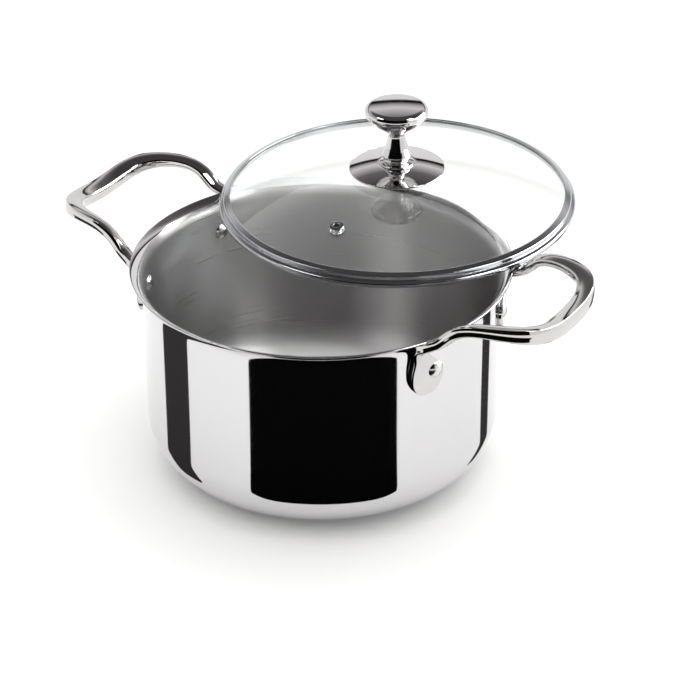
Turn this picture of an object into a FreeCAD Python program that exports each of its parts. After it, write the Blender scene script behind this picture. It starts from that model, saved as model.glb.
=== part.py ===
"""Two-handled stainless saucepot, 22 cm, with a domed glass lid lying across its rim.

Frame: millimetres, +Z up. The origin is the middle of the underside, where the pot stands.
The handles lie along X. The lid is moved off along +Y and leans a little, as it is set
down ajar on the rim.
"""

import FreeCAD, Part
import math
import os

import Sketcher

V = FreeCAD.Vector
AXIS_X = V(1, 0, 0)
AXIS_Z = V(0, 0, 1)
ORIGIN_POINT = (-1, 1)  # a sketch's own origin, as Sketcher numbers it
SKETCH_X_AXIS = -1
SKETCH_Y_AXIS = -2
GRIP_SECTIONS = 17  # ellipses along half a handle

# A handle's bar, foot to grip. Each foot row is how far off the wall, how far above the rim,
# half the width and half the depth. Each bar row is how far in from the grip, how far outboard
# of the grip's corner, how far above the rim, and the same two halves.
FOOT_STATIONS = [
    (3.1, -33.0, 2.6, 1.5),
    (3.6, -24.0, 4.0, 2.4),
    (4.6, -14.0, 4.4, 3.2),
]
BAR_STATIONS = [
    (53.6, 5.0, 0.4, 4.3, 3.7),
    (43.0, 4.0, 9.5, 4.3, 3.8),
    (23.0, 0.5, 14.0, 4.8, 4.4),
    (6.0, -10.0, 12.0, 5.4, 5.8),
    (0.6, -25.0, 9.0, 5.5, 6.2),
]
GRIP_MIDDLE = (7.5, 5.5, 6.3)

DIMENSIONS = {
    # pot
    "wall_radius": 106.4,
    "corner_radius": 30.8,
    "steel_gauge": 1.0,
    "over_half": 1.02,
    "pot_height": 131.0,
    "shell_underside": 4.6,
    "lip_bend": 9.0,
    "lip_lean": 74.5,
    # heat-spreading base
    "cap_radius": 78.0,
    "cap_gauge": 0.8,
    "cap_edge_round": 2.0,
    # handles and rivets
    "rivet_angle": 22.0,
    "rivet_drop": 22.8,
    "rivet_shank": 2.5,
    "rivet_head": 5.0,
    "rivet_dome": 2.2,
    "plate_gauge": 2.6,
    "plate_width": 22.4,
    "plate_top_drop": 11.0,
    "leg_angle": 28.0,
    "grip_reach": 161.2,
    "grip_half_width": 45.0,
    # lid, measured from the underside of its ring
    "ring_radius": 110.4,
    "ring_tall": 8.2,
    "ring_inside": 103.4,
    "ring_chamfer": 0.8,
    "bead_round": 2.2,
    "bead_tall": 4.3,
    "groove_tall": 0.6,
    "groove_depth": 0.6,
    "band_round": 0.95,
    "seat_gap": 0.28,
    "glass_edge": 105.8,
    "glass_edge_top": 7.1,
    "glass_apex": 23.5,
    "glass_gauge": 4.0,
    "glass_hole": 4.4,
    "vent_reach": 71.0,
    "vent_bore": 2.1,
    "vent_tube": 3.1,
    "vent_flange": 4.4,
    "vent_sheet": 0.5,
    # knob, heights from the underside of the ring too
    "dish_radius": 29.5,
    "dish_floor": 26.5,
    "dish_ball": 114.0,
    "dish_gauge": 0.8,
    "neck_top": 48.5,
    "neck_radius": 4.6,
    "bell_radius": 9.0,
    "foot_radius": 10.8,
    "foot_edge": 0.9,
    "waist_radius": 5.5,
    "waist_up": 30.2,
    "bell_up": 31.7,
    "cap_equator": 61.8,
    "knob_radius": 19.6,
    "knob_top": 66.4,
    "knob_sheet": 1.0,
    "thread_radius": 2.5,
    "thread_reach": 15.0,
    "gasket_radius": 12.0,
    "gasket_gauge": 0.8,
    "gasket_tall": 3.0,
    "washer_radius": 7.0,
    "washer_gauge": 1.0,
    "screw_head": 4.75,
    "screw_head_tall": 3.0,
    # how the lid lies on the rim
    "lid_offset": 89.5,
    "lid_raise": 1.8,
    "lid_tilt": 1.6,
}

doc = FreeCAD.newDocument("saucepot")
sheet = doc.addObject("Spreadsheet::Sheet", "Dims")
for row, (alias, number) in enumerate(DIMENSIONS.items(), start=1):
    sheet.set("A%d" % row, alias)
    sheet.set("B%d" % row, str(number))
    sheet.setAlias("B%d" % row, alias)
doc.recompute()

WORDS = sorted(DIMENSIONS, key=len, reverse=True)
SUBPARTS = []


def value(expression):
    """The number that an expression of sheet aliases stands for."""
    return float(sheet.evalExpression(expression))


def from_sheet(expression):
    """The same expression with each alias named as a cell of the sheet."""
    marked = expression
    for index, word in enumerate(WORDS):
        marked = marked.replace(word, "<%d>" % index)
    for index, word in enumerate(WORDS):
        marked = marked.replace("<%d>" % index, "Dims." + word)
    return marked


def bind(thing, setting, expression):
    thing.setExpression(setting, from_sheet(expression))


def keep(thing, name):
    """Make a finished object one of the sub-parts, under its own label."""
    thing.Label = name
    SUBPARTS.append(thing)
    return thing


def new_body(name):
    return doc.addObject("PartDesign::Body", name)


def new_sketch(body, name, plane):
    sketch = body.newObject("Sketcher::SketchObject", name)
    planes = [f for f in body.Origin.OriginFeatures if f.Role == plane]
    sketch.AttachmentSupport = [(planes[0], "")]
    sketch.MapMode = "FlatFace"
    return sketch


def draw_outline(sketch, corners):
    """Close an outline through corners (across, up), each an expression of the sheet.

    A corner may add (radius, turn): the edge that leaves it is then an arc of that radius,
    turning left (+1) or right (-1). Each corner is held to the sketch's origin by the sheet.
    """
    spots = [V(value(c[0]), value(c[1]), 0) for c in corners]
    edges = []
    for index, corner in enumerate(corners):
        start = spots[index]
        end = spots[(index + 1) % len(spots)]
        if len(corner) == 2:
            geometry = Part.LineSegment(start, end)
            first, last = 1, 2
        else:
            radius, turn = value(corner[2]), corner[3]
            chord = end - start
            half = chord.Length / 2
            sagitta = radius - math.sqrt(max(radius**2 - half**2, 0))
            sideways = V(chord.y, -chord.x, 0).normalize() * turn
            geometry = Part.Arc(start, (start + end) * 0.5 + sideways * sagitta, end)
            first, last = (1, 2) if turn > 0 else (2, 1)
        edges.append((sketch.addGeometry(geometry, False), first, last))
    for index, (edge, first, last) in enumerate(edges):
        following, next_first, _ = edges[(index + 1) % len(edges)]
        sketch.addConstraint(
            Sketcher.Constraint("Coincident", edge, last, following, next_first)
        )
    for index, (edge, first, _) in enumerate(edges):
        corner, spot = corners[index], spots[index]
        hold_to_origin(sketch, edge, first, corner[0], spot.x, "X", SKETCH_Y_AXIS)
        hold_to_origin(sketch, edge, first, corner[1], spot.y, "Y", SKETCH_X_AXIS)
        if len(corner) > 2:
            hold = Sketcher.Constraint("Radius", edge, value(corner[2]))
            number = sketch.addConstraint(hold)
            bind(sketch, "Constraints[%d]" % number, corner[2])


def hold_to_origin(sketch, edge, end, expression, size, along, axis):
    """Fix one coordinate of an edge's end: on the axis, or at a distance bound to the sheet."""
    if abs(size) < 1e-9:
        sketch.addConstraint(Sketcher.Constraint("PointOnObject", edge, end, axis))
        return
    hold = Sketcher.Constraint("Distance" + along, *ORIGIN_POINT, edge, end, size)
    number = sketch.addConstraint(hold)
    bind(sketch, "Constraints[%d]" % number, expression)


def turned(name, corners):
    """A body turned about Z from an outline drawn in the XZ plane."""
    body = new_body(name)
    sketch = new_sketch(body, name + "_outline", "XZ_Plane")
    draw_outline(sketch, corners)
    turn = body.newObject("PartDesign::Revolution", name + "_turn")
    turn.Profile = sketch
    turn.ReferenceAxis = (sketch, ["V_Axis"])
    turn.Angle = 360
    body.Tip = turn
    doc.recompute()
    return body


def drill(body, name, radius, across="0", up="0"):
    """Cut a round hole along Z right through a body, and make sure that it cuts."""
    before = body.Shape.Volume
    sketch = new_sketch(body, name + "_mark", "XY_Plane")
    spot = V(value(across), value(up), 0)
    circle = sketch.addGeometry(Part.Circle(spot, AXIS_Z, value(radius)), False)
    bind(
        sketch,
        "Constraints[%d]"
        % sketch.addConstraint(Sketcher.Constraint("Radius", circle, value(radius))),
        radius,
    )
    hold_to_origin(sketch, circle, 3, across, spot.x, "X", SKETCH_Y_AXIS)
    hold_to_origin(sketch, circle, 3, up, spot.y, "Y", SKETCH_X_AXIS)
    hole = body.newObject("PartDesign::Pocket", name)
    hole.Profile = sketch
    hole.Type = "ThroughAll"
    hole.Midplane = True
    body.Tip = hole
    doc.recompute()
    if body.Shape.Volume > before - 0.1:
        raise RuntimeError(name + " cut nothing")


def round_cut(name, radius, length, place):
    """A plain cylinder to cut with, from a place along that place's own Z."""
    cylinder = doc.addObject("Part::Cylinder", name)
    bind(cylinder, "Radius", radius)
    bind(cylinder, "Height", length)
    cylinder.Placement = place
    return cylinder


# ---- pot -----------------------------------------------------------------------------------


def radial(angle, reach, up):
    """A place at a radius and height, its own Z pointing straight out from the pot."""
    out = V(math.cos(math.radians(angle)), math.sin(math.radians(angle)), 0)
    return FreeCAD.Placement(out * reach + V(0, 0, up), FreeCAD.Rotation(AXIS_Z, out))


def rivet_places():
    """Each rivet's name and angle about the pot: two to a handle."""
    lean = value("rivet_angle")
    return {
        "rivet_right_front": -lean,
        "rivet_right_back": lean,
        "rivet_left_back": 180 - lean,
        "rivet_left_front": 180 + lean,
    }


def make_pot_shell():
    """One drawn shell: flat floor, round corner, straight wall and a lip that curls out."""
    lip_across = "wall_radius + lip_bend"
    outside = "lip_bend"
    inside = "lip_bend + steel_gauge"
    lip_start = "pot_height - (%s) * sin(lip_lean)" % inside
    body = turned(
        "shell_blank",
        [
            ("0", "shell_underside"),
            ("wall_radius - corner_radius", "shell_underside", "corner_radius", 1),
            ("wall_radius", "shell_underside + corner_radius"),
            ("wall_radius", lip_start, outside, -1),
            (
                lip_across + " - (%s) * cos(lip_lean)" % outside,
                lip_start + " + (%s) * sin(lip_lean)" % outside,
                "steel_gauge / 2 * over_half",
                1,
            ),
            (
                lip_across + " - (%s) * cos(lip_lean)" % inside,
                "pot_height",
                inside,
                1,
            ),
            ("wall_radius - steel_gauge", lip_start),
            (
                "wall_radius - steel_gauge",
                "shell_underside + corner_radius",
                "corner_radius - steel_gauge",
                -1,
            ),
            ("wall_radius - corner_radius", "shell_underside + steel_gauge"),
            ("0", "shell_underside + steel_gauge"),
        ],
    )
    up = value("pot_height - rivet_drop")
    holes = doc.addObject("Part::MultiFuse", "rivet_holes")
    holes.Shapes = [
        round_cut(
            name + "_hole",
            "rivet_shank",
            "4 * steel_gauge",
            radial(angle, value("wall_radius - 2.5 * steel_gauge"), up),
        )
        for name, angle in rivet_places().items()
    ]
    shell = doc.addObject("Part::Cut", "pot_shell")
    shell.Base = body
    shell.Tool = holes
    keep(shell, "pot_shell")


def make_base():
    """An aluminium disc under the floor, shut in by a thin steel pan pressed round it."""
    disc = doc.addObject("Part::Cylinder", "base_spreader_disc")
    bind(disc, "Radius", "cap_radius - cap_gauge - cap_edge_round / 2")
    bind(disc, "Height", "shell_underside - cap_gauge")
    disc.Placement = FreeCAD.Placement(V(0, 0, value("cap_gauge")), FreeCAD.Rotation())
    keep(disc, "base_spreader_disc")
    inner_round = "cap_edge_round - cap_gauge"
    cap = turned(
        "base_cap",
        [
            ("0", "0"),
            ("cap_radius - cap_edge_round", "0", "cap_edge_round", 1),
            ("cap_radius", "cap_edge_round"),
            ("cap_radius", "shell_underside"),
            ("cap_radius - cap_gauge", "shell_underside"),
            ("cap_radius - cap_gauge", "cap_edge_round", inner_round, -1),
            ("cap_radius - cap_edge_round", "cap_gauge"),
            ("0", "cap_gauge"),
        ],
    )
    keep(cap, "base_cap")


def make_rivet(name, angle):
    """A shank through wall and plate, with a low dome on each end."""
    wall_inside = "wall_radius - steel_gauge"
    grip = "steel_gauge + plate_gauge + 0.1"
    ball = "(rivet_head ^ 2 + rivet_dome ^ 2) / (2 * rivet_dome)"
    body = turned(
        name,
        [
            ("0", "0 - rivet_dome", ball, 1),
            ("rivet_head", "0"),
            ("rivet_shank", "0"),
            ("rivet_shank", grip),
            ("rivet_head", grip, ball, 1),
            ("0", grip + " + rivet_dome"),
        ],
    )
    seat = value(wall_inside) - 0.1
    body.Placement = radial(angle, seat, value("pot_height - rivet_drop"))
    keep(body, name)


# ---- handles -------------------------------------------------------------------------------


def grip_stations():
    """The bar from its foot on the plate to the middle of the grip.

    Each station is (place, half the width, half the depth), in millimetres from the axis.
    """
    lean = math.radians(value("leg_angle"))
    rim, wall = value("pot_height"), value("wall_radius")
    reach, half = value("grip_reach"), value("grip_half_width")
    stations = []
    for off_wall, up, width, depth in FOOT_STATIONS:
        out = wall + off_wall
        place = V(out * math.cos(lean), out * math.sin(lean), rim + up)
        stations.append((place, width, depth))
    for inward, outboard, up, width, depth in BAR_STATIONS:
        place = V(reach - inward, half + outboard, rim + up)
        stations.append((place, width, depth))
    middle_up, width, depth = GRIP_MIDDLE
    stations.append((V(reach, 0, rim + middle_up), width, depth))
    return stations


def make_grip_half():
    """Ellipses set square to a smooth line through the stations, lofted into one bar.

    The ellipses stand evenly along the line, and swell smoothly from station to station.
    """
    stations = grip_stations()
    line = Part.BSplineCurve()
    line.interpolate(
        Points=[place for place, _, _ in stations],
        InitialTangent=AXIS_Z,
        FinalTangent=V(0, -1, 0),
        Scale=True,
    )
    swell = Part.BSplineCurve()
    swell.interpolate(
        Points=[V(width, depth, 0) for _, width, depth in stations],
        Parameters=[line.parameter(place) for place, _, _ in stations],
    )
    sections = []
    for place in line.discretize(Number=GRIP_SECTIONS):
        parameter = line.parameter(place)
        along = line.tangent(parameter)[0]
        width, depth, _ = swell.value(parameter)
        heading = V(along.x, along.y, 0)
        if heading.Length < 0.2:
            heading = V(place.x, place.y, 0)
        heading.normalize()
        side = V(-heading.y, heading.x, 0)
        up = along.cross(side).normalize()
        if width >= depth:
            ring = Part.Ellipse(place + side * width, place + up * depth, place)
        else:
            ring = Part.Ellipse(place + up * depth, place - side * width, place)
        sections.append(Part.Wire([ring.toShape()]))
    return Part.makeLoft(sections, True, False)


def make_plate():
    """The riveting plate: a slice of thick tube that fits the wall, cut to a rounded tongue."""
    wall, gauge = value("wall_radius"), value("plate_gauge")
    rim, width = value("pot_height"), value("plate_width")
    top = rim - value("plate_top_drop")
    middle = rim - value("rivet_drop")
    tube = Part.makeCylinder(wall + gauge, rim).cut(Part.makeCylinder(wall, rim))
    tongue = Part.makeCylinder(width / 2, wall, V(0, 0, 0), AXIS_X)
    tongue = tongue.fuse(Part.makeBox(wall, width, top - middle, V(0, -width / 2, 0)))
    tongue.translate(V(wall / 2, 0, middle))
    turn = value("(rivet_angle + leg_angle) / 2")
    tongue.rotate(V(0, 0, 0), AXIS_Z, turn)
    plate = tube.common(tongue)
    hole = Part.makeCylinder(value("rivet_shank"), wall)
    hole.Placement = radial(value("rivet_angle"), wall / 2, middle)
    return plate, hole


def make_handle(name, turn):
    """One casting: a bar bent to a rounded loop, with a riveting plate at each foot."""
    half = make_grip_half()
    plate, hole = make_plate()
    half = half.fuse(plate).cut(hole)
    wall = Part.makeCylinder(value("wall_radius"), value("pot_height"))
    half = half.cut(wall)
    other = half.mirror(V(0, 0, 0), V(0, 1, 0))
    handle = doc.addObject("Part::Feature", name)
    handle.Shape = half.fuse(other).removeSplitter()
    handle.Placement = FreeCAD.Placement(V(0, 0, 0), FreeCAD.Rotation(AXIS_Z, turn))
    keep(handle, name)


# ---- lid -----------------------------------------------------------------------------------


def on_the_rim():
    """Where the lid's own frame stands: off to +Y, just above the rim, its far side raised."""
    up = value("pot_height + lid_raise")
    lean = FreeCAD.Rotation(AXIS_X, value("lid_tilt"))
    return FreeCAD.Placement(V(0, value("lid_offset"), up), lean)


def ball_of_the_dome():
    """The radius of the glass's outer face, through its apex and its edge."""
    rise = "(glass_apex - glass_edge_top)"
    return "((ring_inside ^ 2 + %s ^ 2) / 2 / %s)" % (rise, rise)


def dome_height(across, below="0"):
    """The height of the glass's outer face, or of one below it, at a distance from the axis."""
    ball = ball_of_the_dome()
    return "glass_apex - %s + sqrt((%s - %s) ^ 2 - (%s) ^ 2)" % (ball, ball, below, across)


def make_glass():
    """A tempered dome of even thickness, with a hole for the knob's screw and one for steam."""
    ball = ball_of_the_dome()
    glass = turned(
        "lid_glass",
        [
            ("0", "glass_apex"),
            ("0", "glass_apex - glass_gauge", ball + " - glass_gauge", -1),
            ("glass_edge", dome_height("glass_edge", "glass_gauge")),
            ("glass_edge", dome_height("glass_edge"), ball, 1),
        ],
    )
    drill(glass, "screw_hole", "glass_hole")
    drill(glass, "steam_hole", "vent_tube + 0.1", up="0 - vent_reach")
    glass.Placement = on_the_rim()
    keep(glass, "lid_glass")


def make_ring():
    """A rolled steel channel round the glass: a sloping band, a groove and a full bead."""
    groove_across = "ring_radius - bead_round - groove_depth"
    ring = turned(
        "lid_ring",
        [
            ("ring_inside", "ring_chamfer"),
            ("ring_inside + ring_chamfer", "0"),
            ("ring_radius - bead_round", "0", "bead_round * 1.02", 1),
            ("ring_radius - bead_round + 0.2", "bead_tall"),
            (groove_across, "bead_tall + groove_tall / 4"),
            (groove_across + " + 0.3", "bead_tall + groove_tall"),
            ("ring_radius - band_round - 3.0", "ring_tall - 0.4", "band_round", 1),
            ("ring_radius - 2 * band_round - 3.0", "ring_tall"),
            ("ring_inside + 0.3", "ring_tall - 0.1"),
            ("ring_inside", dome_height("ring_inside") + " + seat_gap"),
            ("glass_edge + 0.1", dome_height("glass_edge") + " + seat_gap"),
            ("glass_edge + 0.1", dome_height("glass_edge", "glass_gauge") + " - 0.05"),
            ("ring_inside", dome_height("ring_inside", "glass_gauge") + " - seat_gap / 2"),
        ],
    )
    ring.Placement = on_the_rim()
    keep(ring, "lid_ring")


def make_vent():
    """A steel eyelet closed over both faces of the glass, leaving a small steam hole."""
    half_glass = "glass_gauge / 2"
    flange_top = half_glass + " + 0.35"
    eyelet = turned(
        "vent_eyelet",
        [
            ("vent_bore", "0 - (%s) - vent_sheet" % flange_top),
            ("vent_flange", "0 - (%s) - vent_sheet" % flange_top),
            ("vent_flange", "0 - (%s)" % flange_top),
            ("vent_bore + vent_sheet", "0 - (%s)" % flange_top),
            ("vent_bore + vent_sheet", flange_top),
            ("vent_flange", flange_top),
            ("vent_flange", flange_top + " + vent_sheet"),
            ("vent_bore", flange_top + " + vent_sheet"),
        ],
    )
    reach = value("vent_reach")
    height = value(dome_height("vent_reach", "glass_gauge / 2"))
    slope = math.degrees(math.asin(reach / value(ball_of_the_dome())))
    local = FreeCAD.Placement(V(0, -reach, height), FreeCAD.Rotation(AXIS_X, slope))
    eyelet.Placement = on_the_rim().multiply(local)
    keep(eyelet, "vent_eyelet")


def make_knob():
    """The knob as it is built up: dish, turned neck, and a hollow head of two pressings."""
    pieces = []
    dish_top = "dish_floor + dish_gauge"
    dish_edge = "dish_floor - (dish_radius ^ 2 - gasket_radius ^ 2) / (2 * dish_ball)"
    pieces.append(
        turned(
            "knob_dish",
            [
                ("thread_radius + 0.3", "dish_floor"),
                ("gasket_radius", "dish_floor", "dish_ball", -1),
                ("dish_radius", dish_edge),
                ("dish_radius", dish_edge + " + dish_gauge / 2", "dish_gauge / 2 * over_half", 1),
                (
                    "dish_radius - dish_gauge / 2",
                    dish_edge + " + dish_gauge",
                    "dish_ball + dish_gauge",
                    1,
                ),
                ("gasket_radius", dish_top),
                ("thread_radius + 0.3", dish_top),
            ],
        )
    )
    tapped = "thread_reach + " + dish_top
    pieces.append(
        turned(
            "knob_neck",
            [
                ("thread_radius + 0.05", dish_top),
                ("foot_radius", dish_top),
                ("foot_radius", dish_top + " + foot_edge", "7.0", -1),
                ("waist_radius", "waist_up", "2.6", -1),
                ("bell_radius - 0.6", "bell_up", "1.2", 1),
                ("bell_radius - 0.3", "bell_up + 1.8", "30.0", -1),
                ("neck_radius", "neck_top - 4.0"),
                ("neck_radius", "neck_top"),
                ("0", "neck_top"),
                ("0", tapped),
                ("thread_radius + 0.05", tapped),
            ],
        )
    )
    pieces.append(
        turned(
            "knob_cap_under",
            [
                ("0", "neck_top"),
                ("neck_radius + 1.6", "neck_top", "26.0", 1),
                ("knob_radius - 0.9", "cap_equator - 1.6", "1.8", 1),
                ("knob_radius", "cap_equator"),
                ("knob_radius - knob_sheet", "cap_equator"),
                ("knob_radius - 1.2 - knob_sheet", "cap_equator - 1.0", "25.0", -1),
                ("neck_radius + 1.2", "neck_top + knob_sheet"),
                ("0", "neck_top + knob_sheet"),
            ],
        )
    )
    shoulder = "(knob_radius - 2)"
    rise = "(knob_top - cap_equator - 2.1)"
    crown = "(%s ^ 2 + %s ^ 2) / (2 * %s)" % (shoulder, rise, rise)
    pieces.append(
        turned(
            "knob_cap_top",
            [
                ("knob_radius - knob_sheet", "cap_equator"),
                ("knob_radius", "cap_equator", "2.4", 1),
                (shoulder, "cap_equator + 2.1", crown, 1),
                ("0", "knob_top"),
                ("0", "knob_top - knob_sheet", crown, -1),
                (shoulder, "cap_equator + 2.1 - knob_sheet"),
            ],
        )
    )
    for piece in pieces:
        piece.Placement = on_the_rim()
        keep(piece, piece.Name)


def make_knob_fixing():
    """What holds the knob on: silicone above and below the glass, washers and a screw."""
    under = "(glass_apex - glass_gauge)"
    seat = under + " - 0.15"
    rings = {
        "knob_gasket": ("glass_apex", "gasket_tall", "gasket_radius"),
        "under_gasket": (seat + " - gasket_gauge", "gasket_gauge", "gasket_radius - 2"),
        "plain_washer": (seat + " - gasket_gauge - washer_gauge", "washer_gauge", "washer_radius"),
        "spring_washer": (
            seat + " - gasket_gauge - 2.2 * washer_gauge",
            "1.2 * washer_gauge",
            "screw_head - 0.3",
        ),
    }
    pieces = []
    for name, (bottom, gauge, radius) in rings.items():
        top = "%s + %s" % (bottom, gauge)
        corners = [
            ("thread_radius + 0.2", bottom),
            (radius, bottom),
            (radius, top),
            ("thread_radius + 0.2", top),
        ]
        pieces.append(turned(name, corners))
    split = doc.getObject("spring_washer")
    add_split(split, seat + " - gasket_gauge - 2.2 * washer_gauge", "1.2 * washer_gauge")
    head = seat + " - gasket_gauge - 2.2 * washer_gauge"
    screw = turned(
        "knob_screw",
        [
            ("0", head + " - screw_head_tall"),
            ("screw_head - 1.2", head + " - screw_head_tall", "1.9", 1),
            ("screw_head", head + " - 1.0"),
            ("screw_head", head),
            ("thread_radius", head),
            ("thread_radius", "dish_floor + dish_gauge + thread_reach - 2"),
            ("0", "dish_floor + dish_gauge + thread_reach - 2"),
        ],
    )
    cut_cross(screw, head + " - screw_head_tall")
    pieces.append(screw)
    for piece in pieces:
        piece.Placement = on_the_rim()
        keep(piece, piece.Name)


def add_split(washer, bottom, tall):
    """Open the spring washer with a narrow slot on one side."""
    slot = new_sketch(washer, "split_mark", "XY_Plane")
    draw_outline(
        slot,
        [("1.5", "0 - 0.4"), ("screw_head + 1", "0 - 0.4"), ("screw_head + 1", "0.4"), ("1.5", "0.4")],
    )
    before = washer.Shape.Volume
    cut = washer.newObject("PartDesign::Pocket", "split")
    cut.Profile = slot
    cut.Type = "ThroughAll"
    cut.Midplane = True
    washer.Tip = cut
    doc.recompute()
    if washer.Shape.Volume > before - 0.1:
        raise RuntimeError("the spring washer's slot cut nothing")


def cut_cross(screw, face):
    """A cross recess in the screw's head, cut from the two directions."""
    before = screw.Shape.Volume
    arms = [("across", "2.4", "0.5"), ("along", "0.5", "2.4")]
    for name, wide, deep in arms:
        sketch = new_sketch(screw, "recess_" + name, "XY_Plane")
        draw_outline(
            sketch,
            [
                ("0 - " + wide, "0 - " + deep),
                (wide, "0 - " + deep),
                (wide, deep),
                ("0 - " + wide, deep),
            ],
        )
        recess = screw.newObject("PartDesign::Pocket", "recess_cut_" + name)
        recess.Profile = sketch
        recess.Type = "Length"
        recess.Reversed = True
        bind(recess, "Length", face + " + 1.8")
        screw.Tip = recess
        doc.recompute()
    if screw.Shape.Volume > before - 0.1:
        raise RuntimeError("the screw's recess cut nothing")


# ---- build, check and write ----------------------------------------------------------------


def check_everything():
    for thing in doc.Objects:
        faults = {"Invalid", "Error"} & set(thing.State)
        if faults:
            raise RuntimeError("%s is %s" % (thing.Label, faults))
    for part in SUBPARTS:
        if part.Shape.isNull() or not part.Shape.isValid():
            raise RuntimeError(part.Label + " has no valid shape")


make_pot_shell()
make_base()
make_handle("handle_right", 0)
make_handle("handle_left", 180)
for rivet, place in rivet_places().items():
    make_rivet(rivet, place)
make_ring()
make_glass()
make_vent()
make_knob()
make_knob_fixing()
doc.recompute()
check_everything()

os.makedirs("parts", exist_ok=True)
for part in SUBPARTS:
    part.Shape.exportStep("parts/%s.step" % part.Label)
    size = part.Shape.Volume / 1000
    print("%-20s %9.2f cm3  %d solid(s)" % (part.Label, size, len(part.Shape.Solids)))
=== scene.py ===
"""The looks of a two-handled stainless saucepot with a domed glass lid set down ajar.

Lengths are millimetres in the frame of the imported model, and a mesh is written in metres: the
origin is the middle of the pot's underside, X runs through the handles, and the lid is moved off
along +Y. Each new piece is a surface worked out on a grid of two parameters, most of them by
turning an outline. An outline's points are (across, up), and a corner adds the radius of its arc.
"""

import math

import bmesh
import bpy
import numpy as np
from mathutils import Matrix, Vector


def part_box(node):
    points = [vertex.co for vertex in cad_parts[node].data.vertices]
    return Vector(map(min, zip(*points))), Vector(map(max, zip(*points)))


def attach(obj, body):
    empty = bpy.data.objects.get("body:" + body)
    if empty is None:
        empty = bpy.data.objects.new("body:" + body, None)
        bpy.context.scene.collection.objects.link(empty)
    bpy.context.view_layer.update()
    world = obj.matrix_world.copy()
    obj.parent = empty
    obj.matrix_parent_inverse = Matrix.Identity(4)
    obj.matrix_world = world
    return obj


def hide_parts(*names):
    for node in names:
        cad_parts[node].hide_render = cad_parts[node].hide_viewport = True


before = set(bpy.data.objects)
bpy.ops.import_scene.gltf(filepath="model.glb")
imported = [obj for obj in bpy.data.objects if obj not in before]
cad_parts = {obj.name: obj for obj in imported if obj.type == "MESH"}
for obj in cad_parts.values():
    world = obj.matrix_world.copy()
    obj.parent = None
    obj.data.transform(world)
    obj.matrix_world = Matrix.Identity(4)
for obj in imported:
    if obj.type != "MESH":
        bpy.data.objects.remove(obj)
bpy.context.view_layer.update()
MM = 0.001

# ---- sizes ---------------------------------------------------------------------------------

# The shell: a straight wall over a rounded corner, and a lip that bends outwards.
RIM_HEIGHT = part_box("pot_shell")[1][2] / MM
SHELL_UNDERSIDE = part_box("pot_shell")[0][2] / MM
RIM_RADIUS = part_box("pot_shell")[1][0] / MM
LIP_REACH = 6.75
LIP_TALL = 9.65
LIP_BEND = 9.0
LIP_LEAN = math.radians(74.5)
WALL = RIM_RADIUS - LIP_REACH
SHELL_GAUGE = 1.0
CORNER = 30.8
BRUSHED_BELOW = 2.8

CAP_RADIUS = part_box("base_cap")[1][0] / MM
CAP_GAUGE = 0.8

# Rivets and handles. A rivet's place is an angle from the handle's axis and a drop from the rim.
RIVET_ANGLE = 22.0
RIVET_DROP = 22.8
RIVET_HEAD = 5.0
RIVET_DOME = 2.2
RIVET_SHANK = 2.5
RIVET_PLAY = 0.15
RIVET_SEAT = 0.1
PLATE_GAUGE = 2.6
PLATE_HALF = 11.2
GRIP_REACH = 161.2
GRIP_HALF = 45.0
WRAP_TOP = -5.0
WRAP_FADE = 10.0

# The lid's glass and ring, with heights from the ring's underside.
LID_TILT = math.radians(1.6)
LID_RAISE = 1.8
LID_OFFSET = (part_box("lid_ring")[0][1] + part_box("lid_ring")[1][1]) / 2 / MM
RING_RADIUS = 110.4
RING_TALL = 8.2
RING_INSIDE = 103.4
GLASS_EDGE = 105.8
GLASS_EDGE_TOP = 7.1
GLASS_APEX = 23.5
GLASS_GAUGE = 4.0
GLASS_PLAY = 0.1
VENT_REACH = 71.0
VENT_HOLE = 3.2
VENT_BORE = 2.1
VENT_FLANGE = 4.4
VENT_SEAT = 0.35
SCREW_HOLE = 4.4
SCREW_BORE = 2.52
SCREW_END = 41.0

# The knob, with heights from the ring's underside too.
DISH_FLOOR = 26.5
DISH_GAUGE = 0.8
DISH_TOP = DISH_FLOOR + DISH_GAUGE
DISH_BALL = 114.0
DISH_BORE = 2.9
DISH_RADIUS = 29.5
GASKET_RADIUS = 12.0
NECK_TOP = 48.5
NECK_WAIST = 4.9
CAP_EQUATOR = 61.8
KNOB_GAUGE = 1.0
KNOB_RADIUS = 19.6
KNOB_ROLL = 3.8
KNOB_TOP = 66.4


# ---- outlines ------------------------------------------------------------------------------


def rounded(corners, steps=9, closed=True):
    """Corner points (across, up, radius) with each corner replaced by a tangent arc.

    The arc of radius r touches both edges at r / tan(half the corner's angle) from the corner,
    and its points turn evenly about its centre. A radius of 0 leaves the corner sharp.
    """
    p = np.array([c[:2] for c in corners], float)
    r = np.array([c[2] for c in corners], float)
    back = np.roll(p, 1, 0) - p
    ahead = np.roll(p, -1, 0) - p
    if not closed:
        r[[0, -1]] = 0
    back /= np.linalg.norm(back, axis=1, keepdims=True) + 1e-12
    ahead /= np.linalg.norm(ahead, axis=1, keepdims=True) + 1e-12
    angle = np.arccos(np.clip((back * ahead).sum(1), -1, 1))
    half = np.maximum(angle / 2, 1e-3)
    bisector = back + ahead
    bisector /= np.linalg.norm(bisector, axis=1, keepdims=True) + 1e-12
    centre = p + bisector * (r / np.sin(half))[:, None]
    start = p + back * (r / np.tan(half))[:, None] - centre
    end = p + ahead * (r / np.tan(half))[:, None] - centre
    swing = np.maximum(math.pi - angle, 1e-4)[:, None, None]
    t = np.linspace(0, 1, steps)[None, :, None]
    turn = np.sin((1 - t) * swing) * start[:, None] + np.sin(t * swing) * end[:, None]
    points = (centre[:, None] + turn / np.sin(swing)).reshape(-1, 2)
    gap = np.linalg.norm(np.diff(points, axis=0), axis=1)
    return points[np.r_[True, gap > 1e-4]]


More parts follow.
